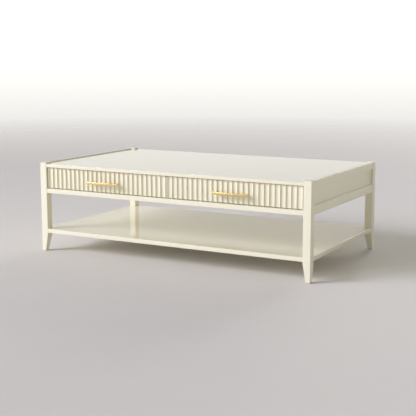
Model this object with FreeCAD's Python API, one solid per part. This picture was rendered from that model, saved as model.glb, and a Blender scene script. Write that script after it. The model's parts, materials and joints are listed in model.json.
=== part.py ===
import FreeCAD, Part

import os

# Low lacquered coffee table with two fluted drawers and an open lower shelf.
# Millimetres. +X to the right as seen from the drawers, +Z up, the drawers face -Y.
# The origin is on the floor, in the middle of the whole outline, pulls included.

# Overall size
table_width = 1300.0
table_depth = 750.0
table_height = 400.0

# Legs: square posts, drawn in on the two inner faces below the shelf
leg_size = 34.0
foot_size = 20.0
leg_round = 2.5
leg_top_round = 1.0
glide_diameter = 14.0
glide_height = 3.0
glide_pin_diameter = 4.0
glide_pin_length = 12.0

# Boards between the legs
edge_setback = 1.5
side_setback = 2.0
edge_round = 1.5
top_thickness = 15.0
leg_lip = 2.0
drawer_opening_height = 95.0
carcase_bottom_thickness = 20.0
shelf_underside = 83.0
shelf_thickness = 18.0
back_thickness = 12.0
divider_thickness = 18.0
divider_setback = 2.0
carcase_side_thickness = 18.0

# Framed sides: two rails and a thin panel let into grooves, and a low lip beside the top board
rail_thickness = 26.0
top_rail_height = 30.0
bottom_rail_height = 36.0
rail_round = 1.0
lip_height = 4.0
lip_width = 12.0
panel_thickness = 12.0
panel_recess = 7.0
panel_tongue = 6.0
groove_clearance = 0.2

# Dowels that peg the frame together
dowel_diameter = 8.0
dowel_length = 28.0
dowel_clearance = 0.1
dowel_from_edge = 9.0
dowel_pitch = 10.0

# Steel angles that hold the top board down
bracket_leg = 20.0
bracket_width = 16.0
bracket_thickness = 2.0
bracket_from_leg = 60.0
bracket_screw_from_corner = 12.0

# Wood screws
screw_diameter = 3.5
screw_head_diameter = 7.0
screw_head_height = 1.2
screw_depth = 8.0
screw_clearance = 0.1

# Drawer fronts: a narrow gap above and below them, a wider one beside and between them
front_gap = 2.5
side_gap = 4.5
drawer_recess = 6.5
front_thickness = 20.0
flute_count = 26
flute_depth = 6.0
ridge_width = 1.2
end_land = 3.5

# Drawer boxes
box_board = 12.0
box_lift = 6.0
box_drop = 8.0
box_bottom_thickness = 5.0
box_bottom_lift = 8.0
box_groove_depth = 5.0
front_screw_inset_x = 60.0
front_screw_inset_z = 18.0
front_screw_grip = 10.0

# Full-extension slides: three channels nested in each other
slide_length = 500.0
slide_height = 45.0
slide_thickness = 12.7
slide_wall = 1.5
slide_clearance = 0.4
slide_setback = 2.0
slide_screw_inset = 40.0

# Bar pulls
pull_length = 156.0
pull_section = 10.0
pull_projection = 26.0
pull_post_spacing = 128.0
pull_drop = 5.0
pull_round = 0.8
pull_screw_diameter = 4.0
pull_screw_grip = 12.0
pull_screw_head_diameter = 8.0
pull_screw_head_height = 2.5

# Places worked out from the sizes
pull_proud = pull_projection - drawer_recess
back_y = (table_depth + pull_proud) / 2
front_y = back_y - table_depth
middle_y = (front_y + back_y) / 2
outer_x = table_width / 2
leg_inner_x = outer_x - leg_size
front_leg_back_y = front_y + leg_size
rear_leg_front_y = back_y - leg_size
board_front_y = front_y + edge_setback
board_back_y = back_y - edge_setback
rail_outer_x = outer_x - side_setback
rail_inner_x = rail_outer_x - rail_thickness
lip_inner_x = rail_outer_x - lip_width
lip_middle_x = rail_outer_x - lip_width / 2
panel_outer_x = rail_outer_x - panel_recess
panel_inner_x = panel_outer_x - panel_thickness
carcase_side_x = rail_inner_x - carcase_side_thickness
divider_x = divider_thickness / 2
rail_top = table_height - leg_lip
board_top = rail_top - lip_height
board_underside = board_top - top_thickness
carcase_floor = board_underside - drawer_opening_height
carcase_underside = carcase_floor - carcase_bottom_thickness
top_rail_underside = rail_top - top_rail_height
bottom_rail_top = carcase_underside + bottom_rail_height
back_panel_front_y = board_back_y - back_thickness
front_low = carcase_floor + front_gap
front_high = board_underside - front_gap
front_face_y = front_y + drawer_recess
flute_floor_y = front_face_y + flute_depth
front_back_y = front_face_y + front_thickness
front_width = leg_inner_x - 1.5 * side_gap
front_middle_x = (leg_inner_x - side_gap / 2) / 2
box_low = front_low + box_lift
box_high = front_high - box_drop
slide_front_y = front_leg_back_y + slide_setback
slide_back_y = slide_front_y + slide_length
slide_middle_z = (box_low + box_high) / 2
box_back_y = slide_back_y
pull_z = (front_low + front_high) / 2 - pull_drop
pull_front_y = front_face_y - pull_projection

X = FreeCAD.Vector(1, 0, 0)
Y = FreeCAD.Vector(0, 1, 0)
Z = FreeCAD.Vector(0, 0, 1)
SIDES = {"left": -1, "right": 1}

parts = {}


def point(x, y, z):
    return FreeCAD.Vector(x, y, z)


def block(x0, x1, y0, y1, z0, z1):
    """A box between two corners, given in any order."""
    low = point(min(x0, x1), min(y0, y1), min(z0, z1))
    return Part.makeBox(abs(x1 - x0), abs(y1 - y0), abs(z1 - z0), low)


def rod(start, direction, length, diameter):
    """A round bar from a point along a direction."""
    return Part.makeCylinder(diameter / 2, length, start, direction)


def runs_along(edge, axis):
    """True for a straight edge parallel to an axis."""
    first = edge.Vertexes[0].Point
    last = edge.Vertexes[-1].Point
    span = last - first
    return span.Length > 0 and abs(abs(span.dot(axis)) - span.Length) < 1e-6


def eased(shape, radius, keep):
    """Rounds the edges that the test keep picks."""
    return shape.makeFillet(radius, [edge for edge in shape.Edges if keep(edge)])


def prism(points, direction):
    """A polygon carried straight along a vector."""
    outline = Part.makePolygon(points + points[:1])
    return Part.Face(outline).extrude(direction)


# Legs and their glides


def leg(side, row):
    """One post: a rounded square bar with a wedge taken off each inner face below the shelf."""
    out_x = side * outer_x
    in_x = side * leg_inner_x
    foot_x = side * (outer_x - foot_size)
    out_y = front_y if row < 0 else back_y
    in_y = out_y - row * leg_size
    foot_y = out_y - row * foot_size
    post = block(out_x, in_x, out_y, in_y, glide_height, table_height)
    post = eased(post, leg_round, lambda edge: runs_along(edge, Z))
    post = eased(post, leg_top_round, lambda edge: edge.BoundBox.ZMin > table_height - 1e-3)
    wedge_x = prism(
        [
            point(in_x, front_y, shelf_underside),
            point(in_x, front_y, glide_height),
            point(foot_x, front_y, glide_height),
        ],
        Y * table_depth,
    )
    wedge_y = prism(
        [
            point(-outer_x, in_y, shelf_underside),
            point(-outer_x, in_y, glide_height),
            point(-outer_x, foot_y, glide_height),
        ],
        X * table_width,
    )
    return post.cut(wedge_x).cut(wedge_y)


def foot_centre(side, row):
    out_y = front_y if row < 0 else back_y
    return side * (outer_x - foot_size / 2), out_y - row * foot_size / 2


ROWS = {"front": -1, "rear": 1}
glides = []
for row_name, row in ROWS.items():
    for side_name, side in SIDES.items():
        x, y = foot_centre(side, row)
        hole = rod(
            point(x, y, glide_height), Z, glide_pin_length, glide_pin_diameter + 2 * screw_clearance
        )
        parts["leg_%s_%s" % (row_name, side_name)] = leg(side, row).cut(hole)
        disc = rod(point(x, y, 0), Z, glide_height, glide_diameter)
        pin = rod(point(x, y, 0), Z, glide_height + glide_pin_length, glide_pin_diameter)
        glides.append(disc.fuse(pin).removeSplitter())
parts["foot_glides"] = Part.makeCompound(glides)


# Boards that lie between the legs


def leg_spaces():
    """The four square spaces that the legs take out of a board."""
    spaces = []
    for side in SIDES.values():
        for near, far in ((front_y, front_leg_back_y), (back_y, rear_leg_front_y)):
            spaces.append(block(side * outer_x, side * leg_inner_x, near, far, 0, table_height))
    return spaces


def notched_board(half_width, underside, thickness, ends_rounded):
    """A board with eased edges, notched round the four legs."""
    board = block(
        -half_width, half_width, board_front_y, board_back_y, underside, underside + thickness
    )
    board = eased(
        board, edge_round, lambda edge: runs_along(edge, X) or (ends_rounded and runs_along(edge, Y))
    )
    for space in leg_spaces():
        board = board.cut(space)
    return board


parts["top_board"] = notched_board(lip_inner_x, board_underside, top_thickness, False)
parts["carcase_bottom"] = notched_board(
    rail_inner_x, carcase_underside, carcase_bottom_thickness, False
)
parts["lower_shelf"] = notched_board(rail_outer_x, shelf_underside, shelf_thickness, True)
parts["back_panel"] = block(
    -leg_inner_x, leg_inner_x, back_panel_front_y, board_back_y, carcase_floor, board_underside
)
parts["centre_divider"] = block(
    -divider_x, divider_x, front_back_y + divider_setback, back_panel_front_y, carcase_floor, board_underside
)

# Framed sides: rails, panel and the inner carcase wall


def panel_space(side, spare):
    """The side panel, or with spare the groove that holds it."""
    return block(
        side * (panel_outer_x + spare),
        side * (panel_inner_x - spare),
        front_leg_back_y - panel_tongue - spare,
        rear_leg_front_y + panel_tongue + spare,
        bottom_rail_top - panel_tongue - spare,
        top_rail_underside + panel_tongue + spare,
    )


def side_rail(side, low, high):
    """A rail between two legs, with its long edges eased."""
    bar = block(side * rail_outer_x, side * rail_inner_x, front_leg_back_y, rear_leg_front_y, low, high)
    return eased(bar, rail_round, lambda edge: runs_along(edge, Y))


def is_lip_edge(edge):
    """True for the long upper edge of a lip, on the top board's side."""
    beside_board = abs(abs(edge.BoundBox.XMin) - lip_inner_x) < 1e-3
    return runs_along(edge, Y) and beside_board and edge.BoundBox.ZMin > rail_top - 1e-3


def top_rail(side):
    """A rail with a rebate for the end of the top board, which leaves a low lip beside the board."""
    rebate = block(
        side * lip_inner_x, side * rail_inner_x, front_leg_back_y, rear_leg_front_y, board_underside, rail_top
    )
    rail = side_rail(side, top_rail_underside, rail_top).cut(rebate)
    return eased(rail, rail_round, is_lip_edge)


for side_name, side in SIDES.items():
    groove = panel_space(side, groove_clearance)
    parts[side_name + "_top_rail"] = top_rail(side).cut(groove)
    parts[side_name + "_bottom_rail"] = side_rail(side, carcase_underside, bottom_rail_top).cut(groove)
    parts[side_name + "_side_panel"] = panel_space(side, 0)
    for row_name in ROWS:
        name = "leg_%s_%s" % (row_name, side_name)
        parts[name] = parts[name].cut(groove)
    parts[side_name + "_carcase_side"] = block(
        side * rail_inner_x,
        side * carcase_side_x,
        front_leg_back_y,
        rear_leg_front_y,
        carcase_floor,
        board_underside,
    )

# Dowels: each one is centred on the joint between two pieces, and both get its hole

frame_dowels = []


def peg(centre, axis, first, second):
    """A dowel across a joint, with a hole a little longer and wider in both pieces."""
    frame_dowels.append(rod(centre - axis * (dowel_length / 2), axis, dowel_length, dowel_diameter))
    hole_length = dowel_length + 2 * dowel_clearance
    hole = rod(centre - axis * (hole_length / 2), axis, hole_length, dowel_diameter + 2 * dowel_clearance)
    for name in (first, second):
        parts[name] = parts[name].cut(hole)


for side_name, side in SIDES.items():
    rail_peg_x = side * lip_middle_x
    for row_name, row in ROWS.items():
        leg_name = "leg_%s_%s" % (row_name, side_name)
        rail_end_y = front_leg_back_y if row < 0 else rear_leg_front_y
        board_edge_y = board_front_y if row < 0 else board_back_y
        board_peg_y = board_edge_y - row * dowel_from_edge
        for step in (0, dowel_pitch):
            top_z = rail_top - dowel_from_edge - step
            low_z = carcase_underside + dowel_from_edge + step
            peg(point(rail_peg_x, rail_end_y, top_z), Y, leg_name, side_name + "_top_rail")
            peg(point(rail_peg_x, rail_end_y, low_z), Y, leg_name, side_name + "_bottom_rail")
        for board, middle_z in (
            ("top_board", board_underside + top_thickness / 2),
            ("carcase_bottom", carcase_underside + carcase_bottom_thickness / 2),
            ("lower_shelf", shelf_underside + shelf_thickness / 2),
        ):
            peg(point(side * leg_inner_x, board_peg_y, middle_z), X, leg_name, board)
parts["frame_dowels"] = Part.makeCompound(frame_dowels)

# Angles that hold the top board down on the inner carcase walls


def wood_screw(surface, into):
    """A screw whose head's top lies in the surface, driven along a direction."""
    head = rod(surface, into, screw_head_height, screw_head_diameter)
    shank = rod(surface, into, screw_head_height + screw_depth, screw_diameter)
    return head.fuse(shank).removeSplitter()


def wood_screw_hole(surface, into):
    """The hole of such a screw, a little larger all round."""
    head = rod(surface, into, screw_head_height + screw_clearance, screw_head_diameter + 2 * screw_clearance)
    shank = rod(
        surface,
        into,
        screw_head_height + screw_depth + screw_clearance,
        screw_diameter + 2 * screw_clearance,
    )
    return head.fuse(shank)


brackets = []
bracket_screws = []
for side_name, side in SIDES.items():
    wall_x = side * carcase_side_x
    for bracket_y in (front_leg_back_y + bracket_from_leg, rear_leg_front_y - bracket_from_leg):
        low_y = bracket_y - bracket_width / 2
        high_y = bracket_y + bracket_width / 2
        tip_x = wall_x - side * bracket_leg
        face_x = wall_x - side * bracket_thickness
        face_z = board_underside - bracket_thickness
        upright = block(wall_x, face_x, low_y, high_y, board_underside - bracket_leg, board_underside)
        flat = block(wall_x, tip_x, low_y, high_y, face_z, board_underside)
        angle = upright.fuse(flat).removeSplitter()
        up_screw = (point(wall_x - side * bracket_screw_from_corner, bracket_y, face_z), Z)
        wall_screw = (point(face_x, bracket_y, board_underside - bracket_screw_from_corner), X * side)
        for surface, into in (up_screw, wall_screw):
            angle = angle.cut(wood_screw_hole(surface, into))
            bracket_screws.append(wood_screw(surface, into))
        parts["top_board"] = parts["top_board"].cut(wood_screw_hole(*up_screw))
        parts[side_name + "_carcase_side"] = parts[side_name + "_carcase_side"].cut(
            wood_screw_hole(*wall_screw)
        )
        brackets.append(angle)
parts["top_brackets"] = Part.makeCompound(brackets)
parts["top_bracket_screws"] = Part.makeCompound(bracket_screws)

# Slides: channels given by how far they stand from the wall that carries them


def channel(wall_x, toward, web, lip, half_height):
    """A C-section along Y. Its web starts at the distance web from the wall, its flanges end at lip."""
    inward = 1 if lip > web else -1
    body = block(
        wall_x + toward * web,
        wall_x + toward * lip,
        slide_front_y,
        slide_back_y,
        slide_middle_z - half_height,
        slide_middle_z + half_height,
    )
    hollow = block(
        wall_x + toward * (web + inward * slide_wall),
        wall_x + toward * lip,
        slide_front_y,
        slide_back_y,
        slide_middle_z - half_height + slide_wall,
        slide_middle_z + half_height - slide_wall,
    )
    return body.cut(hollow)


slide_step = slide_wall + slide_clearance
outer_half = slide_height / 2
middle_half = outer_half - slide_step
inner_half = middle_half - slide_step


def slide_screw_places():
    """Three places along a slide: near both ends and in the middle."""
    return (
        slide_front_y + slide_screw_inset,
        (slide_front_y + slide_back_y) / 2,
        slide_back_y - slide_screw_inset,
    )


wall_screws = []


def add_slide(drawer, position, wall_x, toward, wall_name):
    """One slide: the wall channel, the middle channel and the drawer channel, with their screws."""
    stem = "%s_drawer_%s" % (drawer, position)
    outer = channel(wall_x, toward, 0, slide_thickness - slide_wall, outer_half)
    middle = channel(wall_x, toward, slide_step, slide_thickness - slide_step, middle_half)
    inner = channel(wall_x, toward, slide_thickness, 2 * slide_step, inner_half)
    box_side = stem + "_side"
    screws = []
    for y in slide_screw_places():
        wall_place = point(wall_x + toward * slide_wall, y, slide_middle_z)
        outer = outer.cut(wood_screw_hole(wall_place, X * -toward))
        parts[wall_name] = parts[wall_name].cut(wood_screw_hole(wall_place, X * -toward))
        wall_screws.append(wood_screw(wall_place, X * -toward))
        box_place = point(wall_x + toward * (slide_thickness - slide_wall), y, slide_middle_z)
        inner = inner.cut(wood_screw_hole(box_place, X * toward))
        parts[box_side] = parts[box_side].cut(wood_screw_hole(box_place, X * toward))
        screws.append(wood_screw(box_place, X * toward))
    parts[stem + "_outer_slide"] = outer
    parts[stem + "_middle_slide"] = middle
    parts[stem + "_inner_slide"] = inner
    return screws


# Drawers


def fluted_front(middle_x):
    """A board whose face is a row of equal hollow flutes, carried straight up.

    Each flute has a flat floor and quarter-round sides whose radius is its depth. Narrow ridges stand
    between the flutes, and a flat land is left at both ends of the board.
    """
    left = middle_x - front_width / 2
    right = middle_x + front_width / 2
    flute_width = (front_width - 2 * end_land - (flute_count - 1) * ridge_width) / flute_count
    half_round = flute_depth * 0.5**0.5

    def at(x, y):
        return point(x, y, front_low)

    edges = []
    here = at(left, front_face_y)
    for index in range(flute_count):
        start_x = left + end_land + index * (flute_width + ridge_width)
        end_x = start_x + flute_width
        floor_start = at(start_x + flute_depth, flute_floor_y)
        floor_end = at(end_x - flute_depth, flute_floor_y)
        side_y = front_face_y + half_round
        down = at(start_x + flute_depth - half_round, side_y)
        up = at(end_x - flute_depth + half_round, side_y)
        edges.append(Part.LineSegment(here, at(start_x, front_face_y)).toShape())
        edges.append(Part.Arc(at(start_x, front_face_y), down, floor_start).toShape())
        edges.append(Part.LineSegment(floor_start, floor_end).toShape())
        edges.append(Part.Arc(floor_end, up, at(end_x, front_face_y)).toShape())
        here = at(end_x, front_face_y)
    for x, y in ((right, front_face_y), (right, front_back_y), (left, front_back_y), (left, front_face_y)):
        edges.append(Part.LineSegment(here, at(x, y)).toShape())
        here = at(x, y)
    return Part.Face(Part.Wire(edges)).extrude(Z * (front_high - front_low))


def bar_pull(middle_x):
    """A square bar on two square posts."""
    bar = block(
        middle_x - pull_length / 2,
        middle_x + pull_length / 2,
        pull_front_y,
        pull_front_y + pull_section,
        pull_z - pull_section / 2,
        pull_z + pull_section / 2,
    )
    bar = eased(bar, pull_round, lambda edge: True)
    for end in SIDES.values():
        post_x = middle_x + end * pull_post_spacing / 2
        post = block(
            post_x - pull_section / 2,
            post_x + pull_section / 2,
            pull_front_y + pull_section / 2,
            flute_floor_y,
            pull_z - pull_section / 2 + pull_round,
            pull_z + pull_section / 2 - pull_round,
        )
        bar = bar.fuse(post)
    return bar.removeSplitter()


def post_seats(middle_x):
    """Flats milled down to the floor of the flutes, so that each post of the pull stands level."""
    seats = []
    for end in SIDES.values():
        post_x = middle_x + end * pull_post_spacing / 2
        seats.append(
            block(
                post_x - pull_section / 2,
                post_x + pull_section / 2,
                front_face_y - flute_depth,
                flute_floor_y,
                pull_z - pull_section / 2,
                pull_z + pull_section / 2,
            )
        )
    return seats


def machine_screw(x, z, head_face_y, tip_y, grow):
    """A pan-head screw along -Y with its head standing on a face, or with grow its hole."""
    shank = rod(point(x, head_face_y, z), -Y, head_face_y - tip_y + grow, pull_screw_diameter + 2 * grow)
    if grow:
        return shank
    head = rod(point(x, head_face_y, z), Y, pull_screw_head_height, pull_screw_head_diameter)
    return shank.fuse(head).removeSplitter()


def add_drawer(drawer, side):
    """One drawer: fluted front, box, pull, slides and screws."""
    stem = drawer + "_drawer"
    middle_x = side * front_middle_x
    wall_low_x = min(side * carcase_side_x, side * divider_x)
    wall_high_x = max(side * carcase_side_x, side * divider_x)
    box_left_x = wall_low_x + slide_thickness
    box_right_x = wall_high_x - slide_thickness
    inside_left_x = box_left_x + box_board
    inside_right_x = box_right_x - box_board
    inside_front_y = front_back_y + box_board
    inside_back_y = box_back_y - box_board
    front = fluted_front(middle_x)
    for seat in post_seats(middle_x):
        front = front.cut(seat)
    boards = {
        "_left_side": block(box_left_x, inside_left_x, front_back_y, box_back_y, box_low, box_high),
        "_right_side": block(inside_right_x, box_right_x, front_back_y, box_back_y, box_low, box_high),
        "_box_front": block(inside_left_x, inside_right_x, front_back_y, inside_front_y, box_low, box_high),
        "_back": block(inside_left_x, inside_right_x, inside_back_y, box_back_y, box_low, box_high),
    }

    def bottom(spare):
        """The bottom panel, or with spare the groove that holds it."""
        return block(
            inside_left_x - box_groove_depth - spare,
            inside_right_x + box_groove_depth + spare,
            inside_front_y - box_groove_depth - spare,
            inside_back_y + box_groove_depth + spare,
            box_low + box_bottom_lift - spare,
            box_low + box_bottom_lift + box_bottom_thickness + spare,
        )

    parts[stem + "_bottom"] = bottom(0)
    for name, board in boards.items():
        parts[stem + name] = board.cut(bottom(groove_clearance))

    pull = bar_pull(middle_x)
    pull_screws = []
    front_screws = []
    for end in SIDES.values():
        post_x = middle_x + end * pull_post_spacing / 2
        tip_y = flute_floor_y - pull_screw_grip
        hole = machine_screw(post_x, pull_z, inside_front_y, tip_y, screw_clearance)
        pull = pull.cut(hole)
        front = front.cut(hole)
        parts[stem + "_box_front"] = parts[stem + "_box_front"].cut(hole)
        pull_screws.append(machine_screw(post_x, pull_z, inside_front_y, tip_y, 0))
        for screw_z in (box_low + front_screw_inset_z, box_high - front_screw_inset_z):
            edge_x = inside_right_x if end > 0 else inside_left_x
            screw_x = edge_x - end * front_screw_inset_x
            tip_y = front_back_y - front_screw_grip
            hole = machine_screw(screw_x, screw_z, inside_front_y, tip_y, screw_clearance)
            front = front.cut(hole)
            parts[stem + "_box_front"] = parts[stem + "_box_front"].cut(hole)
            front_screws.append(machine_screw(screw_x, screw_z, inside_front_y, tip_y, 0))
    parts[stem + "_front"] = front
    parts[stem + "_pull"] = pull
    parts[stem + "_pull_screws"] = Part.makeCompound(pull_screws)
    parts[stem + "_front_screws"] = Part.makeCompound(front_screws)

    left_wall = "left_carcase_side" if side < 0 else "centre_divider"
    right_wall = "centre_divider" if side < 0 else "right_carcase_side"
    screws = add_slide(drawer, "left", wall_low_x, 1, left_wall)
    screws += add_slide(drawer, "right", wall_high_x, -1, right_wall)
    parts[stem + "_slide_screws"] = Part.makeCompound(screws)


for drawer, side in SIDES.items():
    add_drawer(drawer, side)
parts["wall_slide_screws"] = Part.makeCompound(wall_screws)

# Files
os.makedirs("parts", exist_ok=True)
for name, shape in parts.items():
    if not shape.isValid():
        raise RuntimeError("bad solid: " + name)
    shape.exportStep("parts/%s.step" % name)
    print("%-34s %2d solid(s) %10.1f cm3" % (name, len(shape.Solids), shape.Volume / 1000))
print(len(parts), "nodes")
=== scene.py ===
# %% [markdown]
# # A fluted coffee table, dressed for its picture
#
# The table is a low lacquered frame on four square legs, with two drawers under its top and an open shelf
# near the floor. Its boards, slides and screws are loaded here as solids in metres, standing on the floor at
# z = 0, with the drawers facing -Y. This lesson sets up the picture, makes the finishes, and works out again
# with formulas the pieces whose curves want a finer surface than the solids have.

# %% Load the frame
import json
import math

import bmesh
import bpy
import numpy as np
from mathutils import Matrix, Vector


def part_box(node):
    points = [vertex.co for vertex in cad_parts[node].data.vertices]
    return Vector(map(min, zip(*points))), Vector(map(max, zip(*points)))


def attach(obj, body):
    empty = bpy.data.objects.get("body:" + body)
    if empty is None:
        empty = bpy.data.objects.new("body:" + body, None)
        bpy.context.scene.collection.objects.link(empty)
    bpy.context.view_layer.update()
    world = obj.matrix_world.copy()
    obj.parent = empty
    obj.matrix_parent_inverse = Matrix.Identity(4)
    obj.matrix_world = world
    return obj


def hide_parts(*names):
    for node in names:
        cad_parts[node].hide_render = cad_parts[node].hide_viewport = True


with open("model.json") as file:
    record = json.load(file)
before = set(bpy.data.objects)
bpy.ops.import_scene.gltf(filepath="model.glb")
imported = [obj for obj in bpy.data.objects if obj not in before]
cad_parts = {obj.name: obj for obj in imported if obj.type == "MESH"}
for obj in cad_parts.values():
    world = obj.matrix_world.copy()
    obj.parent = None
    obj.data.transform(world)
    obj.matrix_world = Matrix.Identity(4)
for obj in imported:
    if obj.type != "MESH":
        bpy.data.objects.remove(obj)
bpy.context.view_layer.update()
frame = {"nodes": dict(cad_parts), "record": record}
nodes = frame["nodes"]
scene = bpy.context.scene

# %% [markdown]
# ## Camera
#
# The picture is taken from the right of the drawers and a little above the top, with a long lens, so the
# table looks calm and its edges run nearly parallel. The place, the turn and the lens were worked out
# together from the edges of the boards and legs. A camera turned by 90 degrees about X looks level along +Y,
# so the tilt is taken off that angle and the turn to the left is made about Z.

# %% Camera
camera_place = (1.9727, -3.605, 0.8776)
camera_turn = math.radians(28.661)
camera_tilt = math.radians(9.471)
lens_mm = 80.218
sensor_mm = 36.0
furthest_seen = 200.0

lens = bpy.data.cameras.new("camera")
lens.lens = lens_mm
lens.sensor_width = sensor_mm
lens.clip_end = furthest_seen
camera = bpy.data.objects.new("camera", lens)
camera.location = camera_place
camera.rotation_euler = (math.pi / 2 - camera_tilt, 0.0, camera_turn)
scene.collection.objects.link(camera)
scene.camera = camera
print("camera stands", round(math.hypot(*camera_place[:2]), 2), "m from the middle of the table")

# %% [markdown]
# ## Effects that several finishes share
#
# A finish is a network of nodes, and the networks below repeat a few steps: a node with its settings, a
# link, a change of range, a blend of two colours, a noise. Each step is a small helper, so that a finish
# reads as a list of what it is made of. The noise runs on the object's own coordinates, because these are
# metres, so that a scale of 400 gives marks about 2.5 mm apart on every piece alike.

# %% Node helpers
# A Mix node has sockets for several kinds of values. These are the numbers of the ones for colours.
mix_amount = 0
mix_first = 6
mix_second = 7
mix_result = 2
# Most of a noise lies in the first range, and most of the brushed lines in the second.
noise_spread = (0.3, 0.7)
line_spread = (0.25, 0.75)


def add(tree, kind, **settings):
    """A new node with some of its settings filled in."""
    node = tree.nodes.new(kind)
    for label, value in settings.items():
        setattr(node, label, value)
    return node


def feed(tree, source, target):
    """A link from an output to an input."""
    tree.links.new(source, target)


def ranged(tree, source, low, high, new_low=0.0, new_high=1.0):
    """A value moved from one range to another and kept inside it."""
    node = add(tree, "ShaderNodeMapRange")
    labels = ("From Min", "From Max", "To Min", "To Max")
    for label, value in zip(labels, (low, high, new_low, new_high)):
        node.inputs[label].default_value = value
    feed(tree, source, node.inputs["Value"])
    return node.outputs["Result"]


def blended(tree, amount, first, second):
    """A colour between two others; each of them is an output or a fixed colour."""
    node = add(tree, "ShaderNodeMix", data_type="RGBA")
    feed(tree, amount, node.inputs[mix_amount])
    for number, colour in ((mix_first, first), (mix_second, second)):
        if isinstance(colour, bpy.types.NodeSocket):
            feed(tree, colour, node.inputs[number])
        else:
            node.inputs[number].default_value = (*colour, 1.0)
    return node.outputs[mix_result]


def noise(tree, detail, roughness=0.5, scale=1.0, squeeze=(1.0, 1.0, 1.0)):
    """Noise on the object's coordinates, squeezed by its own amount along each axis."""
    place = add(tree, "ShaderNodeTexCoord")
    mapping = add(tree, "ShaderNodeMapping")
    mapping.inputs["Scale"].default_value = squeeze
    feed(tree, place.outputs["Object"], mapping.inputs["Vector"])
    node = add(tree, "ShaderNodeTexNoise")
    for label, value in (("Scale", scale), ("Detail", detail), ("Roughness", roughness)):
        node.inputs[label].default_value = value
    feed(tree, mapping.outputs["Vector"], node.inputs["Vector"])
    return node.outputs["Fac"]


def put_out(tree, **values):
    """The end of a node group: a named output socket for each value, and the link to it."""
    for label in values:
        tree.interface.new_socket(label.title(), in_out="OUTPUT", socket_type="NodeSocketFloat")
    end = add(tree, "NodeGroupOutput")
    for label, source in values.items():
        feed(tree, source, end.inputs[label.title()])


print("node helpers are ready")

# %% [markdown]
# ### Sprayed skin
#
# A lacquered board is never one flat colour. The coat is a touch deeper in some places, its skin has the
# fine dimples of sprayed paint, and handling leaves it a little duller here and there. All three can be
# painted as pictures or worked out from noise. Noise is chosen, because it has no seams and fits every
# piece. The three noises are one node group, built once and placed in each finish that needs it.

# %% Sprayed skin group
sprayed_skin = bpy.data.node_groups.new("sprayed skin", "ShaderNodeTree")
clouds = noise(sprayed_skin, scale=4.0, detail=3.0)
dimples = noise(sprayed_skin, scale=420.0, detail=2.0)
handling = noise(sprayed_skin, scale=38.0, detail=6.0, roughness=0.65)
put_out(sprayed_skin, clouds=clouds, dimples=dimples, handling=handling)
print("made the group", sprayed_skin.name)

# %% [markdown]
# ### Worn and shaded edges
#
# Where a coat goes over an outer edge it is thinner, and that is also where hands and cloths wear it first.
# On the cream lacquer the edge colour is also painted shade: it darkens the rounded outer edges to an olive
# tone, more than wear alone would.
# Such an edge can be found by looking from the surface into the solid: near an outer edge the next face is
# close by, while behind a flat face or in an inner corner there is only material. The ambient occlusion node
# does this when it is told to look inside, so it marks the outer edges alone.

# %% Edge wear and shade group
# How open the solid looks from behind a flat face, and from behind a sharp edge.
open_at_face = 0.95
open_at_edge = 0.45

edge_wear_and_shade = bpy.data.node_groups.new("edge wear and shade", "ShaderNodeTree")
edge_wear_and_shade.interface.new_socket("Reach", in_out="INPUT", socket_type="NodeSocketFloat")
wear_in = add(edge_wear_and_shade, "NodeGroupInput")
look_inside = add(edge_wear_and_shade, "ShaderNodeAmbientOcclusion", samples=4, inside=True, only_local=True)
feed(edge_wear_and_shade, wear_in.outputs["Reach"], look_inside.inputs["Distance"])
put_out(edge_wear_and_shade, mask=ranged(edge_wear_and_shade, look_inside.outputs["AO"], open_at_face, open_at_edge))
print("made the group", edge_wear_and_shade.name)

# %% [markdown]
# ### Brushed lines
#
# Brushed metal is scored by a belt that runs along the piece, so its marks are many times longer than wide.
# Noise that is squeezed across the belt's run and left long in its direction gives the fine scores, and a
# coarser copy gives the broader streaks between them. The belt runs along X here, as the pulls do.

# %% Brushed lines group
brushed_lines = bpy.data.node_groups.new("brushed lines", "ShaderNodeTree")
scores = noise(brushed_lines, detail=3.0, roughness=0.6, squeeze=(25.0, 2600.0, 2600.0))
streaks = noise(brushed_lines, detail=2.0, squeeze=(12.0, 420.0, 420.0))
put_out(brushed_lines, lines=scores, streaks=streaks)
print("made the group", brushed_lines.name)

# %% [markdown]
# ## Finishes
#
# Each finish is one Principled shader fed by those groups, or by noise of its own. A number that is the same
# all over, such as how metallic brass is, sits on the shader's own socket, and only what changes over the
# surface is linked. Every finish of the table has the same three links: a colour that changes at the outer
# edges, a roughness, and a relief. At the edges that colour is wear, and on the cream lacquer painted shade
# too.

# %% Finish helpers


def new_finish(name, **fixed):
    """A material with one Principled shader and its fixed values."""
    finish = bpy.data.materials.new(name)
    finish.use_nodes = True
    shader = finish.node_tree.nodes["Principled BSDF"]
    for label, value in fixed.items():
        shader.inputs[label.replace("_", " ").title()].default_value = value
    return finish, finish.node_tree, shader


def place_group(tree, group, **values):
    """A group placed in a finish with its own values; gives the group's outputs."""
    node = add(tree, "ShaderNodeGroup", node_tree=group)
    for label, value in values.items():
        node.inputs[label.title()].default_value = value
    return node.outputs


def worn_and_shaded(tree, coat, edge, reach):
    """A colour that gives way to another within reach of the outer edges."""
    return blended(tree, place_group(tree, edge_wear_and_shade, reach=reach)["Mask"], coat, edge)


def link_finish(tree, shader, colour, dullness, relief, depth):
    """The three links of a finish; the relief is a bump of the given depth in metres."""
    bump = add(tree, "ShaderNodeBump")
    bump.inputs["Distance"].default_value = depth
    feed(tree, relief, bump.inputs["Height"])
    feed(tree, colour, shader.inputs["Base Color"])
    feed(tree, dullness, shader.inputs["Roughness"])
    feed(tree, bump.outputs["Normal"], shader.inputs["Normal"])


print("finish helpers are ready")

# %% [markdown]
# ### Cream lacquer
#
# The frame, the panels and the fluted fronts are fibreboard and beech under several coats of cream lacquer,
# rubbed down to a satin. The top and the shelf get a last polished coat, so they mirror what stands behind
# them when seen at a low angle. Both are the same paint, so one function makes both, with its own roughness,
# depth of dimples and polish.

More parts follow.
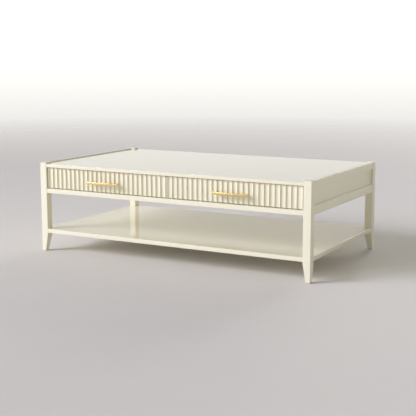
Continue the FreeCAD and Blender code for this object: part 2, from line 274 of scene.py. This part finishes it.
# %% Lacquers
lacquer_pale = (0.865, 0.825, 0.655)
lacquer_deep = (0.85, 0.807, 0.63)
# The edge colour of the lacquer is painted shade as well as wear: it darkens the rounded outer edges.
lacquer_edge_shade_and_wear = (0.74, 0.675, 0.45)
lacquer_shade_and_wear_reach = 0.0025
satin_roughness = (0.30, 0.38)
satin_dimples = 0.00002
gloss_roughness = (0.09, 0.12)
gloss_dimples = 0.000004
gloss_polish = 0.35


def lacquer(name, roughness, dimple_depth, polish=0.0):
    """Sprayed lacquer: softly clouded, thin and a little worn over the outer edges and darkened there with
    painted shade, with a dimpled skin and some polish on it.
    """
    finish, tree, shader = new_finish(name, coat_weight=polish)
    skin = place_group(tree, sprayed_skin)
    coat = blended(tree, ranged(tree, skin["Clouds"], *noise_spread), lacquer_pale, lacquer_deep)
    # Painted shade along the outer edges, with some wear: within reach of them the coat turns to the dark
    # olive edge colour.
    colour = worn_and_shaded(tree, coat, lacquer_edge_shade_and_wear, lacquer_shade_and_wear_reach)
    dullness = ranged(tree, skin["Handling"], *noise_spread, *roughness)
    link_finish(tree, shader, colour, dullness, skin["Dimples"], dimple_depth)
    return finish


cream_lacquer = lacquer("cream_lacquer", satin_roughness, satin_dimples)
gloss_lacquer = lacquer("gloss_lacquer", gloss_roughness, gloss_dimples, gloss_polish)
print("made", cream_lacquer.name, "and", gloss_lacquer.name)

# %% [markdown]
# ### Brushed gold of the pulls
#
# The pulls are brass bars, brushed along their length and lacquered clear. Brass is yellow because it
# reflects little blue, and the scores spread the highlight across the bar. The edges are polished by
# fingers, so they are paler.

# %% Brass
brass_deep = (0.81, 0.62, 0.24)
brass_pale = (0.88, 0.71, 0.33)
brass_edge = (0.92, 0.79, 0.45)
brass_wear = 0.0008
brass_roughness = (0.19, 0.31)
score_depth = 0.00002

brass, tree, shader = new_finish("brass", metallic=1.0)
lines = place_group(tree, brushed_lines)
metal = blended(tree, ranged(tree, lines["Streaks"], *noise_spread), brass_deep, brass_pale)
dullness = ranged(tree, lines["Lines"], *line_spread, *brass_roughness)
link_finish(tree, shader, worn_and_shaded(tree, metal, brass_edge, brass_wear), dullness, lines["Lines"], score_depth)
print("made", brass.name)

# %% [markdown]
# ### Zinc plate
#
# The slides, angles and screws are steel under a thin coat of zinc, which is grey, a little cloudy, and
# brighter along the edges, where it is rubbed. The noises of the sprayed skin serve again for its clouds and
# its fine relief, and the streaks of the brushed lines vary its shine.

# %% Zinc plate
zinc_dark = (0.56, 0.57, 0.59)
zinc_pale = (0.70, 0.70, 0.69)
zinc_edge = (0.82, 0.82, 0.81)
zinc_wear = 0.0006
zinc_roughness = (0.27, 0.43)
zinc_relief = 0.00001

zinc_steel, tree, shader = new_finish("zinc_steel", metallic=1.0)
lines = place_group(tree, brushed_lines)
skin = place_group(tree, sprayed_skin)
plating = blended(tree, ranged(tree, skin["Handling"], *noise_spread), zinc_dark, zinc_pale)
dullness = ranged(tree, lines["Streaks"], *line_spread, *zinc_roughness)
link_finish(tree, shader, worn_and_shaded(tree, plating, zinc_edge, zinc_wear), dullness, skin["Dimples"], zinc_relief)
print("made", zinc_steel.name)

# %% [markdown]
# ### Drawer boards and dowels
#
# The boxes of the drawers are boards under a pale foil with the grain of maple, and the dowels are raw
# beech. Both look alike: growth lines run one way, close together and uneven, with short pores between
# them. Noise squeezed across the grain gives both. The boards of a box run two ways, so the grain can follow
# X or Y. The dowels are out of sight, and all take X.

# %% Woods
along_x = 0
along_y = 1
growth_squeeze = (260.0, 6.0)
growth_spread = (0.35, 0.68)
pore_squeeze = (1900.0, 90.0)
pore_spread = (0.62, 0.72)
pore_strength = 0.35
pore_depth = 0.00004
wood_wear = 0.0015
# Each wood has the colours of its pale growth, its dark growth and its worn edges.
maple_colours = ((0.74, 0.64, 0.49), (0.64, 0.53, 0.375), (0.78, 0.70, 0.56))
maple_roughness = (0.40, 0.55)
beech_colours = ((0.66, 0.46, 0.28), (0.54, 0.35, 0.19), (0.70, 0.52, 0.34))
beech_roughness = (0.6, 0.75)


def grain_squeeze(along, across_grain, along_grain):
    """How far noise is squeezed along each axis, with the grain along the one whose number is given."""
    squeeze = [across_grain] * 3
    squeeze[along] = along_grain
    return squeeze


def grained_wood(name, colours, roughness, along):
    """Wood whose growth lines and pores run along one axis, given by its number."""
    pale, dark, edge = colours
    finish, tree, shader = new_finish(name)
    growth = noise(tree, detail=4.0, roughness=0.6, squeeze=grain_squeeze(along, *growth_squeeze))
    pores = noise(tree, detail=2.0, squeeze=grain_squeeze(along, *pore_squeeze))
    wood = blended(tree, ranged(tree, growth, *growth_spread), pale, dark)
    specked = blended(tree, ranged(tree, pores, *pore_spread, 0.0, pore_strength), wood, dark)
    dullness = ranged(tree, growth, *noise_spread, *roughness)
    link_finish(tree, shader, worn_and_shaded(tree, specked, edge, wood_wear), dullness, pores, pore_depth)
    return finish


drawer_sides = grained_wood("drawer_board", maple_colours, maple_roughness, along_y)
drawer_ends = grained_wood("drawer_board_across", maple_colours, maple_roughness, along_x)
beech = grained_wood("beech", beech_colours, beech_roughness, along_x)
print("made", drawer_sides.name, drawer_ends.name, beech.name)

# %% [markdown]
# ### Nylon glides
#
# The feet stand on pale nylon glides. Moulded nylon is matt with a fine spark-eroded grain. The dimples of
# the sprayed skin give a grain like it, so they are used again, only deeper.

# %% Nylon
nylon_pale = (0.72, 0.70, 0.63)
nylon_deep = (0.66, 0.635, 0.565)
nylon_edge = (0.79, 0.77, 0.71)
nylon_wear = 0.001
nylon_roughness = (0.48, 0.62)
nylon_grain = 0.00006

glide_plastic, tree, shader = new_finish("glide_plastic")
skin = place_group(tree, sprayed_skin)
nylon = blended(tree, skin["Handling"], nylon_pale, nylon_deep)
dullness = ranged(tree, skin["Handling"], *noise_spread, *nylon_roughness)
link_finish(tree, shader, worn_and_shaded(tree, nylon, nylon_edge, nylon_wear), dullness, skin["Dimples"], nylon_grain)
print("made", glide_plastic.name)

# %% [markdown]
# ## Dressing the loaded pieces
#
# The record says which finish each piece takes, so the solids are dressed in one loop. The ends of the
# drawer boxes and their bottoms are the only ones that take the other run of the grain.

# %% Dress the loaded pieces
finishes = {
    "cream_lacquer": cream_lacquer,
    "gloss_lacquer": gloss_lacquer,
    "brass": brass,
    "zinc_steel": zinc_steel,
    "drawer_board": drawer_sides,
    "beech": beech,
    "glide_plastic": glide_plastic,
}
for subpart in frame["record"]["subparts"]:
    name = subpart["node"]
    mesh = nodes[name].data
    mesh.materials.clear()
    crosswise = name.endswith(("_box_front", "_drawer_back", "_drawer_bottom"))
    mesh.materials.append(drawer_ends if crosswise else finishes[subpart["material_slot"]])

# %% [markdown]
# ## Meshes from arrays
#
# Every new piece below is a surface given by a formula. Its points are one numpy array with a row for each
# step along the piece and a column for each step round its section, so no loop goes over single points. One
# function turns such a grid into quads and closes both ends with a flat cap, and another joins several
# closed shells into one piece.

# %% Grids and pieces
smooth_under = math.radians(35)


def tube_shell(points):
    """A section carried along a path: its points, the quads that close round each row, and two caps."""
    rows, columns = points.shape[:2]
    row = np.arange(rows - 1)[:, None] * columns
    near = np.arange(columns)[None, :]
    far = (near + 1) % columns
    quads = np.stack([row + near, row + far, row + far + columns, row + near + columns], axis=-1)
    caps = np.stack([near[0], near[0] + (rows - 1) * columns])
    return points.reshape(-1, 3), quads.reshape(-1, 4), caps


def make_piece(name, shells, finish, body, replaced):
    """One mesh object from closed shells, smooth across small angles, that stands for a node."""
    points = []
    faces = []
    start = 0
    for shell_points, quads, caps in shells:
        points.append(shell_points)
        faces += (quads + start).tolist() + (caps + start).tolist()
        start += len(shell_points)
    mesh = bpy.data.meshes.new(name)
    mesh.from_pydata(np.concatenate(points).tolist(), [], faces)
    shape = bmesh.new()
    shape.from_mesh(mesh)
    bmesh.ops.recalc_face_normals(shape, faces=shape.faces)
    shape.to_mesh(mesh)
    shape.free()
    mesh.polygons.foreach_set("use_smooth", np.ones(len(mesh.polygons), bool))
    mesh.set_sharp_from_angle(angle=smooth_under)
    mesh.materials.append(finish)
    piece = bpy.data.objects.new(name, mesh)
    scene.collection.objects.link(piece)
    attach(piece, body)
    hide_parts(replaced)
    print("made", name, "with", len(mesh.polygons), "faces in place of", replaced)


print("mesh helpers are ready")

# %% [markdown]
# ## Fluted drawer fronts
#
# The face of each front was run past a round-cornered cutter, which left 26 hollow flutes side by side with
# a thin ridge between them. The lacquer rounds the ridges, and the edges of the board are eased with
# sandpaper. Grooves could be cut out of a plain board, but that would leave hard ridges. Here the whole
# board is one surface: its section, seen from the end, is carried along X, and its face moves in and out
# with the flutes.

# %% Flute section
flute_count = 26
flute_depth = 0.006
ridge_width = 0.0012
ridge_ease = 0.0004
end_land = 0.0035
front_ease = 0.0012
cove_steps = 9
ease_steps = 5


def eased_edge(radius, steps):
    """A quarter circle over an edge, as distances from its two faces: the first grows, the second falls."""
    turn = np.linspace(0, np.pi / 2, steps)
    return radius * (1 - np.cos(turn)), radius * (1 - np.sin(turn))


def flute_section(flute_width):
    """Runs across one flute and the depths there.

    The ridge turns over in a quarter circle, then the side is a quarter circle whose radius is the depth,
    then the floor is flat. The second half is the first one mirrored.
    """
    over = np.linspace(0, np.pi / 2, ease_steps, endpoint=False)
    cove = np.linspace(math.asin(ridge_ease / flute_depth), np.pi / 2, cove_steps)
    run = np.concatenate([ridge_ease * (np.sin(over) - 1), flute_depth * (1 - np.cos(cove))])
    depth = np.concatenate([ridge_ease * (1 - np.cos(over)), flute_depth * np.sin(cove)])
    return np.concatenate([run, flute_width - run[::-1]]), np.concatenate([depth, depth[::-1]])


def flute_face(width):
    """Distances from the left end of a board and depths of its face: all the flutes, and eased ends."""
    flute_width = (width - 2 * end_land - (flute_count - 1) * ridge_width) / flute_count
    run, depth = flute_section(flute_width)
    starts = end_land + np.arange(flute_count) * (flute_width + ridge_width)
    end_run, end_depth = eased_edge(front_ease, ease_steps)
    stations = np.concatenate([end_run, (starts[:, None] + run).ravel(), width - end_run[::-1]])
    depths = np.concatenate([end_depth, np.tile(depth, flute_count), end_depth[::-1]])
    return stations, depths


print(flute_count, "flutes", flute_depth * 1000, "mm deep")

# %% Fluted fronts
# The two drawers, and left and right in general, with the sign of their X.
sides = {"left": -1, "right": 1}


def fluted_board(node):
    """The board's section, an eased face and a flat back, carried along X through all the flutes."""
    low, high = (np.array(corner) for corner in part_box(node))
    stations, depths = flute_face(high[0] - low[0])
    face = low[1] + depths
    up, back = eased_edge(front_ease, ease_steps)
    eased_y = face[:, None] + np.concatenate([back, back[::-1]])[None, :]
    eased_z = np.concatenate([low[2] + up, high[2] - up[::-1]])
    points = np.zeros((len(stations), len(eased_z) + 2, 3))
    points[:, :, 0] = low[0] + stations[:, None]
    points[:, :-2, 1] = eased_y
    points[:, -2:, 1] = high[1]
    points[:, :, 2] = np.concatenate([eased_z, [high[2], low[2]]])
    return tube_shell(points)


for drawer in sides:
    node = drawer + "_drawer_front"
    shell = fluted_board(node)
    make_piece(drawer + "_fluted_front", [shell], cream_lacquer, drawer + "_drawer", node)

# %% [markdown]
# ## Bar pulls
#
# A pull is a square bar on two posts that are screwed from inside the drawer. Its edges are barely broken,
# which is what makes the thin bright lines along it. A cube with a Bevel modifier would do, but the same
# rounded square can be carried along the bar and along the posts, drawing in at both ends like the edges of
# a bar that was turned over on a sander.

# %% Bar pulls
pull_edge = 0.0008
pull_section = 0.010
post_spacing = 0.128
corner_steps = 5


def rounded_bar(start, end, axis, half_a, half_b, edge):
    """A rounded rectangle carried from start to end along an axis, drawn in round both end edges.

    The corner circles have the radius edge less the draw-in, and their centres keep edge away from the
    sides.
    """
    along, drawn = eased_edge(edge, corner_steps)
    stations = np.concatenate([start[axis] + along, end[axis] - along[::-1]])
    inset = np.concatenate([drawn, drawn[::-1]])[:, None]
    quarter = np.linspace(0, np.pi / 2, corner_steps)
    angle = (quarter[None, :] + np.arange(4)[:, None] * np.pi / 2).ravel()
    side_a = np.repeat([1, -1, -1, 1], corner_steps) * (half_a - edge)
    side_b = np.repeat([1, 1, -1, -1], corner_steps) * (half_b - edge)
    points = np.zeros((len(stations), len(angle), 3))
    other = [number for number in range(3) if number != axis]
    points[:, :, axis] = stations[:, None]
    points[:, :, other[0]] = start[other[0]] + side_a + (edge - inset) * np.cos(angle)
    points[:, :, other[1]] = start[other[1]] + side_b + (edge - inset) * np.sin(angle)
    return tube_shell(points)


def bar_pull(node):
    """A bar along X and two posts along Y that run from inside the bar to the floor of the flutes."""
    low, high = (np.array(corner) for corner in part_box(node))
    middle = (low + high) / 2
    half = pull_section / 2
    bar_y = low[1] + half
    start = np.array([low[0], bar_y, middle[2]])
    end = np.array([high[0], bar_y, middle[2]])
    shells = [rounded_bar(start, end, along_x, half, half, pull_edge)]
    for side in sides.values():
        post_x = middle[0] + side * post_spacing / 2
        start = np.array([post_x, bar_y, middle[2]])
        end = np.array([post_x, high[1], middle[2]])
        shells.append(rounded_bar(start, end, along_y, half, half - pull_edge, pull_edge / 2))
    return shells


for drawer in sides:
    node = drawer + "_drawer_pull"
    make_piece(drawer + "_bar_pull", bar_pull(node), brass, drawer + "_drawer", node)

# %% [markdown]
# ## Drawer slides
#
# Each drawer runs on two ball slides, made of three steel channels rolled from strip, so every bend of
# theirs is round. The outer channel is screwed to the carcase, the inner one to the drawer, and the middle
# one runs between them. A channel is a C-section carried along Y, and the section is one closed loop: along
# the outside from tip to tip, and back along the inside.

# %% Slide channels
slide_wall = 0.0015
bend_outside = 0.0022


def channel_arm(depth, half, inset):
    """The upper arm of a channel, from its tip to its back, on the outside or inset by the wall."""
    drop, behind = eased_edge(bend_outside - inset, corner_steps)
    return np.stack([np.append(depth, inset + behind), half - inset - np.append(0, drop)], axis=-1)


def channel_section(depth, height):
    """A loop of (depth, height) points: a C whose back is at depth 0, with bends round inside and out."""
    outside = channel_arm(depth, height / 2, 0.0)
    inside = channel_arm(depth, height / 2, slide_wall)
    mirror = np.array([1, -1])
    return np.concatenate([outside, outside[::-1] * mirror, inside * mirror, inside[::-1]])


def slide_channel(node, back_at_low):
    """The section carried along Y inside the node's box, with its back at the low or the high end of X."""
    low, high = (np.array(corner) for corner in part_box(node))
    section = channel_section(high[0] - low[0], high[2] - low[2])
    points = np.zeros((2, len(section), 3))
    points[:, :, 0] = low[0] + section[:, 0] if back_at_low else high[0] - section[:, 0]
    points[:, :, 1] = np.array([low[1], high[1]])[:, None]
    points[:, :, 2] = (low[2] + high[2]) / 2 + section[:, 1]
    return tube_shell(points)


for drawer in sides:
    body = drawer + "_drawer"
    riders = {"outer": "table_frame", "middle": body + "_middle_slides", "inner": body}
    for place in sides:
        for layer, rider in riders.items():
            node = body + "_" + place + "_" + layer + "_slide"
            shell = slide_channel(node, (place == "left") != (layer == "inner"))
            name = body + "_" + place + "_" + layer + "_channel"
            make_piece(name, [shell], zinc_steel, rider, node)

# %% [markdown]
# ## Screws
#
# The slides, angles, fronts and pulls are held by screws with a cross recess. A screw is a turned thing, so
# it is a profile of radii and heights carried round its axis. The recess is pressed in afterwards: on the
# head's top, the height drops wherever the point lies in one of the two crossing slots.

# %% Turned shapes
recess_reach = 0.0022
recess_half_width = 0.0005
recess_depth = 0.0011
recess_slope = 0.0003
turn_steps = 40
axis_radius = 0.0002


def recess_slot(length, width):
    """How far a point is into one slot, from 0 outside it to 1 at its floor, with sloping walls."""
    end = np.clip((recess_reach - np.abs(length)) / recess_slope, 0, 1)
    wall = np.clip((recess_half_width - np.abs(width)) / recess_slope, 0, 1)
    return end * wall


def turned(place, outward, radius, height, crossed=0):
    """A profile of radii and heights carried round an axis that starts at a place and points outward.

    The cross is pressed into the first rows of the profile, as many as crossed says. Where its two slots
    meet, the deeper one counts.
    """
    outward = np.array(outward, float)
    side = np.array([0.0, 1.0, 0.0]) if outward[1] == 0 else np.array([1.0, 0.0, 0.0])
    up = np.cross(outward, side)
    angle = np.linspace(0, 2 * np.pi, turn_steps, endpoint=False)
    across = np.outer(radius, np.cos(angle))
    along = np.outer(radius, np.sin(angle))
    rise = np.repeat(height[:, None], turn_steps, axis=1)
    cross = np.maximum(recess_slot(across, along), recess_slot(along, across))
    rise[:crossed] -= recess_depth * cross[:crossed]
    points = across[..., None] * side + along[..., None] * up + rise[..., None] * outward
    return tube_shell(points + np.array(place, float))


print("turned pieces have", turn_steps, "steps round their axis")

# %% Screw shapes
top_steps = 16
screw_point = 0.001
flat_head = 0.0035
flat_head_height = 0.0012
flat_head_ease = 0.0002
flat_shank = 0.00175
flat_length = 0.0092
pan_head = 0.004
pan_height = 0.0025
pan_rim_height = 0.0008
pan_shank = 0.002


def flat_screw(place, outward):
    """A screw sunk to its rim: a faintly domed head in the sheet, and a shank behind it."""
    top = np.linspace(axis_radius, flat_head - flat_head_ease, top_steps)
    dome = -flat_head_ease * (top / flat_head) ** 2
    radius = np.append(top, [flat_head, flat_head, flat_shank, flat_shank, axis_radius])
    depths = [flat_head_ease, flat_head_height, flat_head_height, flat_length - screw_point, flat_length]
    return turned(place, outward, radius, np.append(dome, -np.array(depths)), top_steps)


def pan_screw(place, outward, length):
    """A round-topped screw that stands on a board, with a shank of the given length in it."""
    top = np.linspace(axis_radius, pan_head, top_steps, endpoint=False)
    dome = pan_rim_height + (pan_height - pan_rim_height) * np.sqrt(1 - (top / pan_head) ** 2)
    radius = np.append(top, [pan_head, pan_head, pan_shank, pan_shank, axis_radius])
    height = np.append(dome, [pan_rim_height, 0.0, 0.0, screw_point - length, -length])
    return turned(place, outward, radius, height, top_steps)


print("screw heads are", 2 * flat_head * 1000, "and", 2 * pan_head * 1000, "mm across")

# %% [markdown]
# ### Screws of the slides
#
# Three sunk screws hold each outer channel to the carcase, and three hold each inner channel to the drawer.
# One screw could be copied to all these places. Each is worked out at its own place instead, so that the
# screws of a body are one mesh that sits where the solids do.

# %% Slide screws
screw_inset = 0.040


def slide_places(node):
    """Three screws along a slide: near both ends and in the middle, given as Y values and one height."""
    low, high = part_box(node)
    return [low.y + screw_inset, (low.y + high.y) / 2, high.y - screw_inset], (low.z + high.z) / 2


wall_screws = []
for drawer in sides:
    body = drawer + "_drawer"
    drawer_screws = []
    for place, side in sides.items():
        stem = body + "_" + place
        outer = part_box(stem + "_outer_slide")
        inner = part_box(stem + "_inner_slide")
        wall_x = (outer[0].x if side < 0 else outer[1].x) - side * slide_wall
        box_x = (inner[1].x if side < 0 else inner[0].x) + side * slide_wall
        rows, height = slide_places(stem + "_outer_slide")
        wall_screws += [flat_screw((wall_x, y, height), (-side, 0, 0)) for y in rows]
        drawer_screws += [flat_screw((box_x, y, height), (side, 0, 0)) for y in rows]
    node = body + "_slide_screws"
    make_piece(body + "_slide_fixings", drawer_screws, zinc_steel, body, node)
node = "wall_slide_screws"
make_piece("carcase_slide_fixings", wall_screws, zinc_steel, "table_frame", node)

# %% [markdown]
# ### Screws of the fronts and pulls
#
# From inside each drawer, four round-topped screws hold the fluted front to the box, and two longer ones run
# through both boards into the posts of the pull. They stand on the back of the box's front board, so their
# places are measured from its corners and from the middle of the pull.

# %% Front and pull screws
front_screw_from_end = 0.060
front_screw_from_edge = 0.018
front_screw_length = 0.022
pull_screw_length = 0.038

for drawer in sides:
    body = drawer + "_drawer"
    low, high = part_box(body + "_box_front")
    pull_low, pull_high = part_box(body + "_pull")
    pull_x = (pull_low.x + pull_high.x) / 2
    pull_z = (pull_low.z + pull_high.z) / 2
    pull_screws = [
        pan_screw((pull_x + side * post_spacing / 2, high.y, pull_z), (0, 1, 0), pull_screw_length)
        for side in sides.values()
    ]
    front_screws = [
        pan_screw((x, high.y, z), (0, 1, 0), front_screw_length)
        for x in (low.x + front_screw_from_end, high.x - front_screw_from_end)
        for z in (low.z + front_screw_from_edge, high.z - front_screw_from_edge)
    ]
    make_piece(body + "_pull_fixings", pull_screws, zinc_steel, body, body + "_pull_screws")
    make_piece(body + "_front_fixings", front_screws, zinc_steel, body, body + "_front_screws")

# %% [markdown]
# ### Screws of the angles
#
# Four small angles hold the top down from inside, each with one screw up into the top and one into the wall
# of the carcase. Both are the sunk screws of the slides, turned to face out of their leg of the angle.

# %% Angle screws
angle_thickness = 0.002
angle_half_width = 0.008
angle_screw_from_corner = 0.012

angles_low, angles_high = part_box("top_brackets")
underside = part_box("top_board")[0].z
angle_screws = []
for side_name, side in sides.items():
    wall_low, wall_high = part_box(side_name + "_carcase_side")
    wall_x = wall_low.x if side > 0 else wall_high.x
    for y in (angles_low.y + angle_half_width, angles_high.y - angle_half_width):
        up_place = (wall_x - side * angle_screw_from_corner, y, underside - angle_thickness)
        wall_place = (wall_x - side * angle_thickness, y, underside - angle_screw_from_corner)
        angle_screws.append(flat_screw(up_place, (0, 0, -1)))
        angle_screws.append(flat_screw(wall_place, (-side, 0, 0)))
make_piece("angle_fixings", angle_screws, zinc_steel, "table_frame", "top_bracket_screws")

# %% [markdown]
# ## Glides
#
# Each foot stands on a nylon disc with a pin that is knocked into the leg. Its lower rim is rounded, so that
# it slides without catching. It is turned in the same way as the screws, from a profile of radii and heights.

# %% Glides
glide_radius = 0.007
glide_height = 0.003
glide_pin_radius = 0.002
glide_pin_length = 0.012
glide_rim = 0.0016
glide_edge = 0.0003
rim_steps = 7


def turned_glide(x, y):
    """A disc with a rounded lower rim and a pin on top, as a profile carried round an upright axis."""
    rim_height, rim_in = eased_edge(glide_rim, rim_steps)
    tip = glide_height + glide_pin_length
    upper_radius = [glide_radius, glide_radius - glide_edge, glide_pin_radius, glide_pin_radius, axis_radius]
    upper_height = [glide_height - glide_edge, glide_height, glide_height, tip - screw_point, tip]
    radius = np.concatenate([[axis_radius], glide_radius - rim_in, upper_radius])
    height = np.concatenate([[0.0], rim_height, upper_height])
    return turned((x, y, 0.0), (0, 0, 1), radius, height)


glides_low, glides_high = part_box("foot_glides")
glides = [
    turned_glide(x, y)
    for x in (glides_low.x + glide_radius, glides_high.x - glide_radius)
    for y in (glides_low.y + glide_radius, glides_high.y - glide_radius)
]
make_piece("nylon_glides", glides, glide_plastic, "table_frame", "foot_glides")

# %% [markdown]
# ## Floor
#
# The table stands on a plain pale floor. A studio sweep has no edge, and neither does this one: the floor is
# a square that turns clear a few metres away, where the glow of the surroundings takes over. It belongs to
# the studio and not to the table.

# %% Floor
floor_half = 12.0
floor_solid_to = 3.0
floor_clear_from = 9.0
floor_pale = (0.80, 0.77, 0.725)
floor_deep = (0.76, 0.73, 0.685)
floor_roughness = 0.75

floor_mesh = bpy.data.meshes.new("floor")
corners = np.array([(-1, -1, 0), (1, -1, 0), (1, 1, 0), (-1, 1, 0)]) * floor_half
floor_mesh.from_pydata(corners.tolist(), [], [(0, 1, 2, 3)])
floor = bpy.data.objects.new("floor", floor_mesh)
scene.collection.objects.link(floor)
floor_finish, tree, shader = new_finish("studio_floor", roughness=floor_roughness)
mottled = noise(tree, scale=6.0, detail=8.0, roughness=0.7)
feed(tree, blended(tree, mottled, floor_pale, floor_deep), shader.inputs["Base Color"])
place = add(tree, "ShaderNodeTexCoord")
away = add(tree, "ShaderNodeVectorMath", operation="LENGTH")
feed(tree, place.outputs["Object"], away.inputs["Vector"])
cover = ranged(tree, away.outputs["Value"], floor_solid_to, floor_clear_from, 1.0, 0.0)
feed(tree, cover, shader.inputs["Alpha"])
floor_mesh.materials.append(floor_finish)
print("floor is solid for", floor_solid_to, "m round the table")

# %% [markdown]
# ## Light
#
# The light is soft and comes from wide sources, so shadows have no hard edge. Each source is given by the
# direction that it comes from, seen from the table: an angle round it, from the drawers' side towards the
# right, and an angle up from the floor. Two of them are far away, because near ones fade over the floor and
# would leave it uneven: a cool one to the left of the drawers, so that the right side of the table falls into
# shade, and one behind the table. A soft box near the left end adds the little that this end is brighter than
# the other.

# %% Soft lights
far_spread = math.radians(28)
box_width = 1.4
lamp_aim = Vector((0.0, 0.0, 0.25))
lamp_distance = 3.6


def aimed_light(name, kind, around, above, strength, colour):
    """A light that shines on the table from a direction, given by an angle round it and an angle up."""
    light = bpy.data.lights.new(name, kind)
    light.energy = strength
    light.color = colour
    turn = math.radians(around)
    rise = math.radians(above)
    level = math.cos(rise)
    direction = Vector((level * math.sin(turn), -level * math.cos(turn), math.sin(rise)))
    lamp = bpy.data.objects.new(name, light)
    lamp.location = lamp_aim + direction * lamp_distance
    lamp.rotation_euler = direction.to_track_quat("Z", "Y").to_euler()
    lamp.visible_camera = False
    scene.collection.objects.link(lamp)
    return light


def far_light(name, **settings):
    """A light so far away that it is as strong and looks as wide everywhere; only its direction counts."""
    light = aimed_light(name, "SUN", **settings)
    light.angle = far_spread


def soft_box(name, **settings):
    """A round soft box near the table."""
    light = aimed_light(name, "AREA", **settings)
    light.shape = "DISK"
    light.size = box_width


far_light("left_light", around=-45, above=26, strength=2.6, colour=(0.845, 0.855, 1.0))
far_light("rear_light", around=180, above=12, strength=1.33, colour=(1.0, 0.99, 0.965))
soft_box("left_box", around=-55, above=22, strength=21, colour=(0.96, 0.97, 1.0))
print("lit by", len(bpy.data.lights), "soft lights")

# %% [markdown]
# ### Glow of the studio
#
# A warm glow all round the horizon stands for the pale screens of a studio: the polished top and shelf mirror
# it, and it reaches in under the top. Screens could be built and lit, but they would stand in the way of
# other views. The background does the same with two blends by height: from the ground to the horizon, and
# from the horizon to a dim ceiling.

# %% Glow round the horizon
ground_glow = (0.56, 0.54, 0.52)
horizon_glow = (1.13, 1.115, 1.07)
ceiling_glow = (0.26, 0.25, 0.236)
ground_blend = (-0.15, 0.0)
ceiling_blend = (0.05, 0.30)

world = bpy.data.worlds.new("studio")
world.use_nodes = True
sky = world.node_tree
look = add(sky, "ShaderNodeTexCoord")
parts = add(sky, "ShaderNodeSeparateXYZ")
feed(sky, look.outputs["Generated"], parts.inputs["Vector"])
upper = blended(sky, ranged(sky, parts.outputs["Z"], *ceiling_blend), horizon_glow, ceiling_glow)
whole = blended(sky, ranged(sky, parts.outputs["Z"], *ground_blend), ground_glow, upper)
feed(sky, whole, sky.nodes["Background"].inputs["Color"])
scene.world = world
scene.view_settings.view_transform = "Standard"
print("the glow is", horizon_glow, "at the horizon and", ceiling_glow, "above")
